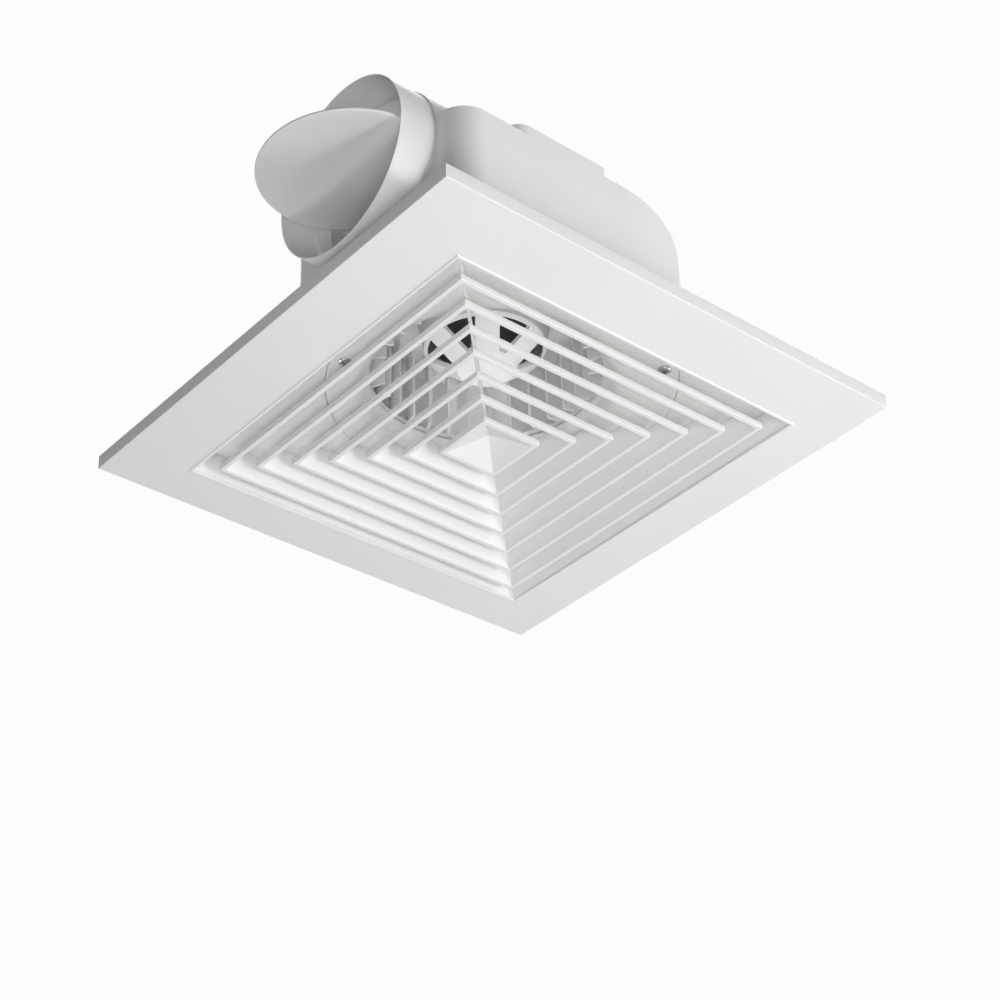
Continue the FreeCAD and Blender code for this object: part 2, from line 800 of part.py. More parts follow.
def thrust_washers():
    lows = (stator_top, stator_bottom - thrust_thickness)
    rings = [tube(thrust_radius, shaft_radius, thrust_thickness, fan_x, fan_y, z) for z in lows]
    return Part.makeCompound(rings)


def blade():
    def side(offset):
        stations = ((wheel_inner_radius, 0), ((wheel_inner_radius + wheel_outer_radius) / 2, blade_mid_sweep),
                    (wheel_outer_radius, blade_tip_sweep))
        return [polar(r, math.degrees(offset / r) - sweep, wheel_bottom) for r, sweep in stations]
    lead = side(blade_thickness / 2)
    trail = side(-blade_thickness / 2)
    edges = [Part.Arc(*lead).toShape(), Part.makeLine(lead[2], trail[2]), Part.Arc(*trail).toShape(),
             Part.makeLine(trail[0], lead[0])]
    face = Part.Face(Part.Wire(Part.__sortEdges__(edges)))
    return face.extrude(Vector(0, 0, wheel_top - wheel_bottom))


# Wheel middle: a blind nose and a cone with windows, then a wall up to the back ring
def turned_profile(points):
    ends = [Vector(0, 0, z) for z in (points[-1][1], points[0][1])]
    outline = [Vector(r, 0, z) for r, z in points] + ends
    solid = Part.Face(Part.makePolygon(outline + outline[:1])).revolve(Vector(0, 0, 0), Vector(0, 0, 1), 360)
    return placed(solid, Vector(fan_x, fan_y, 0))


def windows():
    height = cone_top + nose_thickness - hub_bottom
    opening = tube(cone_radius - window_outer_margin, nose_radius + window_inner_margin, height,
                   fan_x, fan_y, hub_bottom)
    spoke = block(fan_x, fan_y - spoke_width / 2, hub_bottom, fan_x + cone_radius, fan_y + spoke_width / 2,
                  hub_bottom + height)
    return opening.cut(Part.makeCompound(around_fan(turned(spoke, fan_x, fan_y, spoke_angle), spoke_count)))


def dish():
    outline = [(nose_radius, hub_bottom), (cone_radius, cone_top), (dish_radius, wheel_top)]
    lining = [(r - dish_wall, z + nose_thickness) for r, z in outline]
    return turned_profile(outline).cut(turned_profile(lining)).cut(windows())


def impeller():
    hub = cylinder(hub_radius, hub_length, fan_x, fan_y, hub_bottom)
    front = tube(wheel_outer_radius, wheel_outer_radius - wheel_ring_width, wheel_ring_thickness,
                 fan_x, fan_y, wheel_bottom)
    back = tube(wheel_outer_radius, dish_radius - dish_wall, wheel_ring_thickness, fan_x, fan_y,
                wheel_top - wheel_ring_thickness)
    wheel = fused([dish(), hub, front, back] + around_fan(blade(), blade_count))
    bore = cylinder(shaft_radius, hub_top - shaft_bottom, fan_x, fan_y, shaft_bottom)
    return wheel.cut(Part.makeCompound([bore, drive_pin_bore()]))


def drive_pin():
    return drive_pin_bore()


# In the wiring box: cover, cable gland, terminal block, capacitor and motor lead
def wiring_cover():
    plate = rounded_block(box_left, box_front, box_top, box_right, box_back, box_top + cover_thickness,
                          box_corner)
    out = wall + cover_lip_gap
    within = out + cover_lip_wall
    low = box_top - cover_lip_height
    lip = block(box_left + out, box_front + out, low, box_right - out, box_back - out, box_top)
    lip = lip.cut(block(box_left + within, box_front + within, low, box_right - within, box_back - within,
                        box_top))
    room = post_radius + cover_lip_gap
    lip = lip.cut(Part.makeCompound([cylinder(room, cover_lip_height, x, y, low) for x, y in cover_posts()]))
    holes = [cylinder(cover_screw_radius + cover_hole_clearance, cover_thickness, x, y, box_top)
             for x, y in cover_posts()]
    return fused([plate, lip]).cut(Part.makeCompound(holes))


def cover_screws():
    screw = pan_screw(cover_screw_radius, cover_screw_length, cover_screw_head_radius,
                      cover_screw_head_height)
    seats = [Vector(x, y, box_top + cover_thickness) for x, y in cover_posts()]
    return Part.makeCompound([placed(screw, seat, Vector(1, 0, 0), 180) for seat in seats])


def facing_back(shape):
    return placed(shape, Vector(0, 0, 0), Vector(1, 0, 0), -90)


def cable_gland():
    collar = facing_back(hexagon(gland_across_flats, gland_collar_length))
    dome = lying_y(gland_dome_radius, gland_dome_length, 0, gland_collar_length, 0)
    dome = dome.makeFillet(gland_dome_radius - gland_thread_radius,
                           [e for e in dome.Edges if e.BoundBox.YMin > gland_collar_length])
    thread_length = wall + gland_nut_length + gland_thread_tail
    thread = lying_y(gland_thread_radius, thread_length, 0, -thread_length, 0)
    total = thread_length + gland_collar_length + gland_dome_length
    body = fused([collar, dome, thread]).cut(lying_y(gland_bore_radius, total, 0, -thread_length, 0))
    return placed(body, Vector(gland_x, box_back, gland_z))


def gland_nut():
    nut = facing_back(hexagon(gland_across_flats, gland_nut_length))
    nut = nut.cut(lying_y(gland_thread_radius, gland_nut_length, 0, 0, 0))
    return placed(nut, Vector(gland_x, box_back - wall - gland_nut_length, gland_z))


def terminal_screw_solids():
    low = body_height + terminal_height - terminal_screw_depth
    height = terminal_screw_depth - terminal_screw_drop
    rows = (terminal_x + terminal_row_inset, terminal_x + terminal_depth - terminal_row_inset)
    ways = [fan_y + (i - (terminal_ways - 1) / 2) * terminal_pitch for i in range(terminal_ways)]
    return [cylinder(terminal_screw_radius, height, x, y, low) for x in rows for y in ways]


def terminal_block():
    body = block(terminal_x, fan_y - terminal_length / 2, body_height, terminal_x + terminal_depth,
                 fan_y + terminal_length / 2, body_height + terminal_height)
    wells = []
    for screw in terminal_screw_solids():
        well = screw.copy()
        well.translate(Vector(0, 0, terminal_screw_drop))
        wells += [screw, well]
    return body.cut(Part.makeCompound([fused(wells[i:i + 2]) for i in range(0, len(wells), 2)]))


def capacitor():
    return block(capacitor_x, capacitor_y, body_height, capacitor_x + capacitor_depth,
                 capacitor_y + capacitor_length, body_height + capacitor_height)


def capacitor_leads():
    z = body_height + capacitor_lead_height
    ys = (fan_y - capacitor_lead_spacing / 2, fan_y + capacitor_lead_spacing / 2)
    return Part.makeCompound([lying_x(capacitor_lead_radius, capacitor_gap, capacitor_x - capacitor_gap, y, z)
                              for y in ys])


def motor_lead():
    start = Vector(lead_x, fan_y, stator_top + winding_height)
    bend_low = Vector(lead_x, fan_y, body_height + lead_entry_height - lead_bend)
    bend_end = Vector(lead_x + lead_bend, fan_y, body_height + lead_entry_height)
    lean = lead_bend * (1 - math.sqrt(0.5))
    bend_mid = Vector(lead_x + lean, fan_y, bend_end.z - lean)
    end = Vector(terminal_x, fan_y, bend_end.z)
    path = Part.Wire([Part.LineSegment(start, bend_low).toShape(),
                      Part.Arc(bend_low, bend_mid, bend_end).toShape(),
                      Part.LineSegment(bend_end, end).toShape()])
    section = Part.Wire([Part.makeCircle(lead_radius, start, Vector(0, 0, 1))])
    return path.makePipeShell([section], True, False)


def lead_grommet():
    outer = lead_grommet_radius + lead_grommet_flange
    low = tube(outer, lead_hole, lead_grommet_edge, lead_x, fan_y, roof_under - lead_grommet_edge)
    neck = tube(lead_grommet_radius, lead_hole, wall, lead_x, fan_y, roof_under)
    high = tube(outer, lead_hole, lead_grommet_edge, lead_x, fan_y, body_height)
    return fused([low, neck, high])


nodes = {
    "grille_panel": grille_panel(),
    "grille_clips": grille_clips(),
    "clip_screws": clip_screws(),
    "ceiling_flange": ceiling_flange(),
    "housing_shell": housing_shell(),
    "wiring_box": wiring_box(),
    "box_screws": box_screws(),
    "inlet_plate": inlet_plate(),
    "inlet_screws": inlet_screws(),
    "outlet_spigot": outlet_spigot(),
    "damper_flap": damper_flap(),
    "flap_pins": flap_pins(),
    "motor_upper_shell": motor_upper_shell(),
    "motor_lower_shell": motor_lower_shell(),
    "tie_screws": tie_screws(),
    "stator_core": stator_core(),
    "stator_windings": stator_windings(),
    "upper_bush": bush(upper_space_top - bush_length),
    "lower_bush": bush(lower_space_bottom),
    "motor_grommets": motor_grommets(),
    "motor_screws": motor_screws(),
    "rotor_core": rotor_core(),
    "motor_shaft": motor_shaft(),
    "thrust_washers": thrust_washers(),
    "impeller": impeller(),
    "drive_pin": drive_pin(),
    "wiring_cover": wiring_cover(),
    "cover_screws": cover_screws(),
    "cable_gland": cable_gland(),
    "gland_nut": gland_nut(),
    "terminal_block": terminal_block(),
    "terminal_screws": Part.makeCompound(terminal_screw_solids()),
    "capacitor": capacitor(),
    "capacitor_leads": capacitor_leads(),
    "motor_lead": motor_lead(),
    "lead_grommet": lead_grommet(),
}

os.makedirs("parts", exist_ok=True)
for name, shape in nodes.items():
    shape.exportStep("parts/" + name + ".step")
    print(name, "solids", len(shape.Solids), "valid", shape.isValid(), "volume", round(shape.Volume, 1))
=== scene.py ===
import json
import math

import bmesh
import bpy
from mathutils import Matrix, Vector

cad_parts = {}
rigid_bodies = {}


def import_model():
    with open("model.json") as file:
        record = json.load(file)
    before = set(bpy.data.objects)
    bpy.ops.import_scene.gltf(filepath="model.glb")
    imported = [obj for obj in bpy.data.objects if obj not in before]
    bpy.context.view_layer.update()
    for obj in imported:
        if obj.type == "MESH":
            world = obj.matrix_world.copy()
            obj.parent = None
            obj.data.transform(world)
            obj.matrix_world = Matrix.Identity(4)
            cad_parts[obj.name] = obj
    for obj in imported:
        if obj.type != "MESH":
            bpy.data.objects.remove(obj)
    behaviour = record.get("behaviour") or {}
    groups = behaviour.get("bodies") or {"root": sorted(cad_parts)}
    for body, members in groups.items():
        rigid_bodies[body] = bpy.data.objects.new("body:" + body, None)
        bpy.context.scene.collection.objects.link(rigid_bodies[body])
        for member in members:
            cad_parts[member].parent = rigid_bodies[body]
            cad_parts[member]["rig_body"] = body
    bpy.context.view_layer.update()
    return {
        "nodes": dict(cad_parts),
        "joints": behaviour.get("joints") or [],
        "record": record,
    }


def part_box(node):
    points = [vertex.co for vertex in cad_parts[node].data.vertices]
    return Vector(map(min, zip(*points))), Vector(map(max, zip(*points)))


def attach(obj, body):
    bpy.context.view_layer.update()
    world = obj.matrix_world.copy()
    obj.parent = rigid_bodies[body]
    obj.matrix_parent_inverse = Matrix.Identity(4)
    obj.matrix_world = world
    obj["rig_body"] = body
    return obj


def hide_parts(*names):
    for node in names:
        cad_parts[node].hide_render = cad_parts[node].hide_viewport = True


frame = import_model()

nodes = frame["nodes"]
slotOf = {part["node"]: part["material_slot"] for part in frame["record"]["subparts"]}
jointAt = {joint["name"]: Vector(joint.get("pos_m", (0, 0, 0))) for joint in frame["joints"]}


# Shader sockets that can be added and multiplied like numbers
class Strand:
    def __init__(self, finish, socket):
        self.finish = finish
        self.socket = socket

    def calc(self, operation, first, second):
        made = self.finish.node("ShaderNodeMath", {"operation": operation}, {0: first, 1: second})
        return Strand(self.finish, made.outputs[0])

    def __add__(self, other):
        return self.calc("ADD", self, other)

    def __radd__(self, other):
        return self.calc("ADD", other, self)

    def __sub__(self, other):
        return self.calc("SUBTRACT", self, other)

    def __rsub__(self, other):
        return self.calc("SUBTRACT", other, self)

    def __mul__(self, other):
        return self.calc("MULTIPLY", self, other)


noiseMiddle = 0.5  # the value that noise varies about


# One material with its node tree, and short ways to add nodes to it
class Finish:
    def __init__(self, name):
        self.material = bpy.data.materials.new(name)
        self.material.use_nodes = True
        self.tree = self.material.node_tree
        self.surface = self.tree.nodes["Principled BSDF"]
        self.place = self.out(self.node("ShaderNodeTexCoord"), "Object")

    def node(self, kind, settings=None, inputs=None):
        made = self.tree.nodes.new(kind)
        for key, value in (settings or {}).items():
            setattr(made, key, value)
        self.feed(made, inputs or {})
        return made

    def feed(self, made, inputs):
        for key, value in inputs.items():
            if isinstance(value, Strand):
                self.tree.links.new(value.socket, made.inputs[key])
            else:
                made.inputs[key].default_value = value

    def out(self, made, key):
        return Strand(self, made.outputs[key])

    def noise(self, scale, detail=3.0, roughness=0.5, place=None):
        made = self.node("ShaderNodeTexNoise", {"noise_dimensions": "3D"},
                         {"Vector": place or self.place, "Scale": scale, "Detail": detail, "Roughness": roughness})
        return self.out(made, "Fac")

    def sway(self, value, amount):
        return (value - noiseMiddle) * amount

    def ramp(self, value, low, high):
        made = self.node("ShaderNodeMapRange", {"clamp": True}, {"Value": value, "From Min": low, "From Max": high})
        return self.out(made, "Result")

    def blend(self, factor, first, second):
        made = self.node("ShaderNodeMix", {"data_type": "RGBA"}, {0: factor, 6: first, 7: second})
        return self.out(made, 2)

    def bump(self, height, strength, distance):
        made = self.node("ShaderNodeBump", None, {"Strength": strength, "Distance": distance, "Height": height})
        return self.out(made, "Normal")

    def stretched(self, scale):
        made = self.node("ShaderNodeVectorMath", {"operation": "MULTIPLY"}, {0: self.place, 1: scale})
        return self.out(made, 0)

    def set(self, **values):
        self.feed(self.surface, {key.replace("_", " "): value for key, value in values.items()})
        return self.material


def rgb(red, green, blue):
    return (red, green, blue, 1.0)


def shade(color, factor):
    return rgb(color[0] * factor, color[1] * factor, color[2] * factor)


# Moulded plastics: faint flow marks, uneven gloss and a fine spark-eroded texture
plastic = {"flowScale": 9.0, "flowDetail": 4.0, "flowRough": 0.55, "flowStretch": (1.0, 1.0, 2.6),
           "flowRange": (0.35, 0.68), "fineScale": 3200.0, "fineDetail": 2.0, "cloudScale": 42.0,
           "cloudGloss": 0.12, "fineGloss": 0.06, "depth": 0.0002, "index": 1.5}


def mouldedPlastic(name, color, rough, grain=0.05, marks=0.045):
    p = plastic
    finish = Finish(name)
    flow = finish.noise(p["flowScale"], p["flowDetail"], p["flowRough"], finish.stretched(p["flowStretch"]))
    fine = finish.noise(p["fineScale"], p["fineDetail"])
    cloud = finish.noise(p["cloudScale"])
    tint = finish.blend(finish.ramp(flow, *p["flowRange"]), rgb(*color), shade(color, 1.0 - marks))
    gloss = rough + finish.sway(cloud, p["cloudGloss"]) + finish.sway(fine, p["fineGloss"])
    return finish.set(Base_Color=tint, Roughness=gloss, Normal=finish.bump(fine, grain, p["depth"]), IOR=p["index"])


# Painted pressings: orange peel and a few thin spots
enamel = {"peelScale": 900.0, "peelDetail": 2.0, "peelBump": 0.15, "depth": 0.0003, "dustScale": 60.0,
          "dustDetail": 5.0, "dustRough": 0.6, "dustRange": (0.45, 0.8), "dustShade": 1.6, "dustGloss": 0.25,
          "rough": 0.42}


def motorPaint(name, color):
    e = enamel
    finish = Finish(name)
    peel = finish.noise(e["peelScale"], e["peelDetail"])
    dust = finish.noise(e["dustScale"], e["dustDetail"], e["dustRough"])
    tint = finish.blend(finish.ramp(dust, *e["dustRange"]), rgb(*color), shade(color, e["dustShade"]))
    return finish.set(Base_Color=tint, Roughness=e["rough"] + finish.sway(dust, e["dustGloss"]),
                      Normal=finish.bump(peel, e["peelBump"], e["depth"]))


# Bare metals: drawn or rolled grain along one axis
metal = {"grainScale": 700.0, "grainDetail": 3.0, "grainRough": 0.6, "grainGloss": 0.22, "grainBump": 0.12,
         "depth": 0.0001, "cloudScale": 90.0, "cloudRange": (0.4, 0.75), "tarnish": 0.25}


def drawnMetal(name, color, rough, stretch):
    m = metal
    finish = Finish(name)
    grain = finish.noise(m["grainScale"], m["grainDetail"], m["grainRough"], finish.stretched(stretch))
    cloud = finish.noise(m["cloudScale"])
    tint = finish.blend(finish.ramp(cloud, *m["cloudRange"]), rgb(*color), shade(color, 1.0 - m["tarnish"]))
    return finish.set(Base_Color=tint, Metallic=1.0, Roughness=rough + finish.sway(grain, m["grainGloss"]),
                      Normal=finish.bump(grain, m["grainBump"], m["depth"]))


# Stacked laminations and wound wire: fine even bands
bands = {"axis": "Z", "distortion": 0.4, "detail": 1.0, "range": (0.1, 0.6), "metallic": 0.9, "gloss": 0.15,
         "bump": 0.5, "depth": 0.0002}


def bandedMetal(name, color, dark, pitch, rough):
    b = bands
    finish = Finish(name)
    wave = finish.node("ShaderNodeTexWave", {"wave_type": "BANDS", "bands_direction": b["axis"]},
                       {"Vector": finish.place, "Scale": 1.0 / (pitch * math.tau), "Distortion": b["distortion"],
                        "Detail": b["detail"]})
    band = finish.out(wave, "Fac")
    tint = finish.blend(finish.ramp(band, *b["range"]), rgb(*dark), rgb(*color))
    return finish.set(Base_Color=tint, Metallic=b["metallic"], Roughness=rough + (1 - band) * b["gloss"],
                      Normal=finish.bump(band, b["bump"], b["depth"]))


# Rubber and soft sheath: dull, with a dusty bloom
skin = {"cloudScale": 120.0, "cloudDetail": 4.0, "cloudRough": 0.6, "cloudRange": (0.42, 0.8), "cloudGloss": 0.15,
        "fineScale": 1500.0, "fineDetail": 2.0, "fineBump": 0.08, "depth": 0.0002}


def softSkin(name, color, bloom, rough):
    s = skin
    finish = Finish(name)
    cloud = finish.noise(s["cloudScale"], s["cloudDetail"], s["cloudRough"])
    fine = finish.noise(s["fineScale"], s["fineDetail"])
    tint = finish.blend(finish.ramp(cloud, *s["cloudRange"]), rgb(*color), rgb(*bloom))
    return finish.set(Base_Color=tint, Roughness=rough + finish.sway(cloud, s["cloudGloss"]),
                      Normal=finish.bump(fine, s["fineBump"], s["depth"]))


finishes = {
    "panel_white": mouldedPlastic("panelAbs", (0.815, 0.815, 0.805), rough=0.55, grain=0.04, marks=0.03),
    "body_white": mouldedPlastic("bodyAbs", (0.84, 0.84, 0.835), rough=0.44, grain=0.06),
    "wheel_white": mouldedPlastic("wheelPolypropylene", (0.93, 0.93, 0.92), rough=0.48),
    "flap_white": mouldedPlastic("flapPlastic", (0.76, 0.76, 0.755), rough=0.46),
    "motor_black": motorPaint("motorEnamel", (0.052, 0.052, 0.054)),
    "lamination": bandedMetal("stackedSteel", (0.32, 0.32, 0.33), (0.07, 0.07, 0.075), pitch=0.0005, rough=0.4),
    "copper": bandedMetal("enamelledWire", (0.55, 0.22, 0.08), (0.18, 0.06, 0.02), pitch=0.0007, rough=0.32),
    "bronze": drawnMetal("sinteredBronze", (0.5, 0.32, 0.13), rough=0.45, stretch=(1.0, 1.0, 1.0)),
    "steel": drawnMetal("zincSteel", (0.6, 0.6, 0.61), rough=0.3, stretch=(1.0, 1.0, 0.2)),
    "spring_steel": drawnMetal("springStrip", (0.42, 0.43, 0.45), rough=0.3, stretch=(1.0, 1.0, 0.1)),
    "rubber_black": softSkin("blackRubber", (0.018, 0.018, 0.018), (0.04, 0.04, 0.04), rough=0.7),
    "fibre": softSkin("fibreWasher", (0.16, 0.07, 0.03), (0.22, 0.11, 0.05), rough=0.75),
    "gland_grey": mouldedPlastic("glandNylon", (0.28, 0.29, 0.3), rough=0.5),
    "terminal_cream": mouldedPlastic("terminalNylon", (0.62, 0.57, 0.44), rough=0.45),
    "capacitor_black": mouldedPlastic("capacitorCase", (0.02, 0.02, 0.022), rough=0.3),
    "lead_sheath": softSkin("leadSheath", (0.62, 0.62, 0.6), (0.56, 0.56, 0.54), rough=0.5),
}
# A lighter copy of the body plastic for the inlet plate and ceiling flange: painted light, brightening them where
# the louvres and panel keep the lamps off them
plateLitCopy = mouldedPlastic("plateAbsLitCopy", (0.92, 0.92, 0.91), rough=0.5, marks=0.03)
print("finishes", len(finishes))

# Mesh helpers: lengths in metres, angles in degrees
meshing = {"weld": 1e-7, "cadWeld": 2e-6, "flatAngle": 0.15, "cornerShare": 0.48}


def sharpen(mesh, limit):
    bm = bmesh.new()
    bm.from_mesh(mesh)
    for face in bm.faces:
        face.smooth = True
    for edge in bm.edges:
        edge.smooth = len(edge.link_faces) == 2 and edge.calc_face_angle(0.0) < math.radians(limit)
    bm.to_mesh(mesh)
    bm.free()


def addPiece(name, mesh, body, slot, limit=40.0, stands=()):
    sharpen(mesh, limit)
    piece = bpy.data.objects.new(name, mesh)
    bpy.context.scene.collection.objects.link(piece)
    piece.data.materials.clear()
    piece.data.materials.append(finishes[slot])
    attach(piece, body)
    if stands:
        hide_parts(*stands)
    return piece


def meshOf(name, points, faces):
    mesh = bpy.data.meshes.new(name)
    mesh.from_pydata([tuple(p) for p in points], [], faces)
    bm = bmesh.new()
    bm.from_mesh(mesh)
    bmesh.ops.remove_doubles(bm, verts=bm.verts, dist=meshing["weld"])
    bmesh.ops.recalc_face_normals(bm, faces=bm.faces)
    bm.to_mesh(mesh)
    bm.free()
    return mesh


# A closed outline with its corners rounded; a third value on a corner is its own radius
def rounded(outline, radius, steps=4):
    points = []
    count = len(outline)
    for i, corner in enumerate(outline):
        here = Vector(corner[:2])
        before = Vector(outline[i - 1][:2]) - here
        after = Vector(outline[(i + 1) % count][:2]) - here
        size = corner[2] if len(corner) > 2 else radius
        if size <= 0:
            points.append(here)
            continue
        half = before.angle(after) / 2
        longest = meshing["cornerShare"] * min(before.length, after.length)
        reach = min(size / math.tan(half), longest)
        start = here + before.normalized() * reach
        end = here + after.normalized() * reach
        for k in range(steps + 1):
            t = k / steps
            points.append(start * (1 - t) ** 2 + here * (2 * t * (1 - t)) + end * t ** 2)
    return points


# A square ring with mitred corners, from an outline of half widths and heights
def mitred(name, outline):
    points = []
    faces = []
    count = len(outline)
    for half, z in outline:
        points += [(-half, -half, z), (half, -half, z), (half, half, z), (-half, half, z)]
    for i in range(count):
        j = (i + 1) % count
        for k in range(4):
            n = (k + 1) % 4
            faces.append((4 * i + k, 4 * i + n, 4 * j + n, 4 * j + k))
    return meshOf(name, points, faces)


def joined(name, meshes):
    bm = bmesh.new()
    for mesh in meshes:
        bm.from_mesh(mesh)
        bpy.data.meshes.remove(mesh)
    mesh = bpy.data.meshes.new(name)
    bm.to_mesh(mesh)
    bm.free()
    return mesh


def bevelled(piece, width, segments=3, limit=35.0):
    bevel = piece.modifiers.new("edgeRadius", "BEVEL")
    bevel.width = width
    bevel.segments = segments
    bevel.limit_method = "ANGLE"
    bevel.angle_limit = math.radians(limit)
    bevel.harden_normals = False
    normals = piece.modifiers.new("faceNormals", "WEIGHTED_NORMAL")
    normals.keep_sharp = True
    return piece


def boxMesh(name, low, high):
    corners = [(x, y, z) for z in (low[2], high[2]) for y in (low[1], high[1]) for x in (low[0], high[0])]
    faces = [(0, 2, 3, 1), (4, 5, 7, 6), (0, 1, 5, 4), (2, 6, 7, 3), (0, 4, 6, 2), (1, 3, 7, 5)]
    return meshOf(name, corners, faces)


# Louvred panel: a border with a fine bead round the opening, and blades with a plain upright lower edge
panel = {
    "half": 0.15, "rim": 0.0084, "wall": 0.0022, "opening": 0.113, "edgeZ": -0.0142, "borderRise": 0.0058,
    "bead": 0.0007, "beadFoot": 0.0019, "beadWidth": 0.0016,
    "wallTop": -0.009, "wallWidth": 0.002, "wallFoot": 0.0022,
    "frameEdge": 0.0004, "rimEdge": 0.0007, "beadFootEdge": 0.0008, "beadEdge": 0.0006, "frameSteps": 6,
    "openingLow": -0.013, "openingTop": -0.0029, "openingFoot": 0.0014, "openingGap": 0.0001,
    "openingReach": 0.0062, "openingBack": 0.0042, "openingEdge": 0.0004,
    "low": -0.0156, "high": -0.0047, "rings": 6, "firstHalf": 0.10304, "pitch": 0.014,
    "bar": 0.0025, "upright": 0.0034, "run": 0.0075, "tip": 0.0018, "edge": 0.0005,
    "coreTip": 0.001, "coreSkin": 0.0014, "sharp": 28.0,
    "ribThickness": 0.0018, "ribLow": -0.0077, "ribStart": 0.0052, "ribBite": 0.001, "ribTurns": (45, 225),
    "ribEdge": 0.0004, "bossDepth": 0.0075, "bossWidth": 0.016, "bossLow": -0.0096, "bossHigh": -0.0025,
    "bossEdge": 0.0005, "clipSpread": 0.07, "edgeSteps": 2,
}


def louvrePanel():
    p = panel
    inner, low, high = p["opening"], p["low"], p["high"]
    back = p["edgeZ"] + p["wall"]
    beadZ = p["edgeZ"] - p["bead"]
    skirt = p["half"] - p["wall"]
    frameOutline = [(p["half"], 0.0), (p["half"], -p["rim"], p["rimEdge"]),
                    (inner + p["beadFoot"], p["edgeZ"], p["beadFootEdge"]), (inner + p["beadWidth"], beadZ),
                    (inner, beadZ, p["beadEdge"]), (inner, p["wallTop"]), (inner + p["wallWidth"], p["wallTop"]),
                    (inner + p["wallFoot"], back), (skirt, back + p["borderRise"]), (skirt, 0.0)]
    meshes = [mitred("panelFrame", rounded(frameOutline, p["frameEdge"], p["frameSteps"]))]
    topBlade = [(inner + p["openingFoot"], p["openingLow"]), (inner - p["openingGap"], p["openingLow"]),
                (inner - p["openingReach"], p["openingTop"]), (inner - p["openingBack"], p["openingTop"])]
    meshes.append(mitred("openingBlade", rounded(topBlade, p["openingEdge"])))
    shoulder = low + p["upright"]
    for i in range(p["rings"]):
        half = p["firstHalf"] - i * p["pitch"]
        outline = [(half, low), (half - p["bar"], low), (half - p["run"] - p["tip"], high),
                   (half - p["run"], high), (half, shoulder)]
        meshes.append(mitred("louvreRing", rounded(outline, p["edge"])))
    half = p["firstHalf"] - p["rings"] * p["pitch"]
    slope = (high - shoulder) / (half - p["coreTip"])
    under = high - p["coreSkin"] * (1 + slope)  # the pyramid is hollow below
    outline = [(half, low), (half - p["bar"], low), (p["coreTip"], under), (0.0, under, 0), (0.0, high, 0),
               (p["coreTip"], high), (half, shoulder)]
    meshes.append(mitred("corePyramid", rounded(outline, p["edge"])))
    mesh = joined("louvrePanel", meshes)
    return addPiece("louvrePanel", mesh, "grille", "panel_white", p["sharp"], ("grille_panel",))


def panelRibs():
    p = panel
    start = p["ribStart"] * math.sqrt(2)
    reach = (p["opening"] + p["ribBite"]) * math.sqrt(2)
    meshes = []
    for turn in p["ribTurns"]:
        mesh = boxMesh("panelRib", (start, -p["ribThickness"] / 2, p["ribLow"]),
                       (reach, p["ribThickness"] / 2, p["high"]))
        mesh.transform(Matrix.Rotation(math.radians(turn), 4, "Z"))
        meshes.append(mesh)
    piece = addPiece("panelRibs", joined("panelRibs", meshes), "grille", "panel_white")
    return bevelled(piece, p["ribEdge"], p["edgeSteps"])


def clipBosses():
    p = panel
    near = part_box("grille_clips")[1][0]  # the clips stand against the bosses
    meshes = []
    for side in (-1, 1):
        for y in (-p["clipSpread"], p["clipSpread"]):
            ends = sorted((side * near, side * (near + p["bossDepth"])))
            meshes.append(boxMesh("clipBoss", (ends[0], y - p["bossWidth"] / 2, p["bossLow"]),
                                  (ends[1], y + p["bossWidth"] / 2, p["bossHigh"])))
    piece = addPiece("clipBosses", joined("clipBosses", meshes), "grille", "panel_white")
    return bevelled(piece, p["bossEdge"], p["edgeSteps"])


louvrePanel()
panelRibs()
clipBosses()
print("louvred panel")

# Backdraught flap: a thin sheet, faintly bowed, that thickens softly along its pivot
flap = {"radius": 0.0477, "half": 0.0008, "barrel": 0.0019, "soft": 0.006, "bow": 0.0007, "edge": 0.0005,
        "rimInset": 0.3, "rimShare": 0.7, "open": 86.3, "rings": 22, "ringPower": 0.8, "segments": 112,
        "sharp": 60.0}


def flapSheet():
    f = flap
    radii = [f["radius"] * (i / f["rings"]) ** f["ringPower"] for i in range(1, f["rings"])]
    radii += [f["radius"] - f["edge"], f["radius"] - f["rimInset"] * f["edge"]]
    stations = [(r, 1.0) for r in radii[:-1]] + [(radii[-1], f["rimShare"]), (f["radius"], 0.0)]
    stations += [(r, -share) for r, share in reversed(stations[:-1])]  # round the rim and back underneath
    swing = Matrix.Translation(jointAt["flap_swing"]) @ Matrix.Rotation(math.radians(f["open"]), 4, "Y")

    def placedAt(r, turn, share):
        along = r * math.cos(turn)
        across = r * math.sin(turn)
        swell = (f["barrel"] - f["half"]) * math.exp(-(across / f["soft"]) ** 2)
        bowed = f["bow"] * (across / f["radius"]) ** 2
        return swing @ Vector((share * (f["half"] + swell) - bowed, along, across))

    count = f["segments"]
    points = [placedAt(0.0, 0.0, 1.0)]
    for r, share in stations:
        points += [placedAt(r, math.tau * k / count, share) for k in range(count)]
    points.append(placedAt(0.0, 0.0, -1.0))
    last = len(points) - 1
    faces = []
    for k in range(count):
        n = (k + 1) % count
        faces.append((0, 1 + k, 1 + n))
        faces.append((last, last - count + n, last - count + k))
        for i in range(len(stations) - 1):
            low = 1 + i * count
            faces.append((low + k, low + count + k, low + count + n, low + n))
    mesh = meshOf("flapSheet", points, faces)
    return addPiece("flapSheet", mesh, "flap", "flap_white", f["sharp"], ("damper_flap",))


flapSheet()
print("flap")

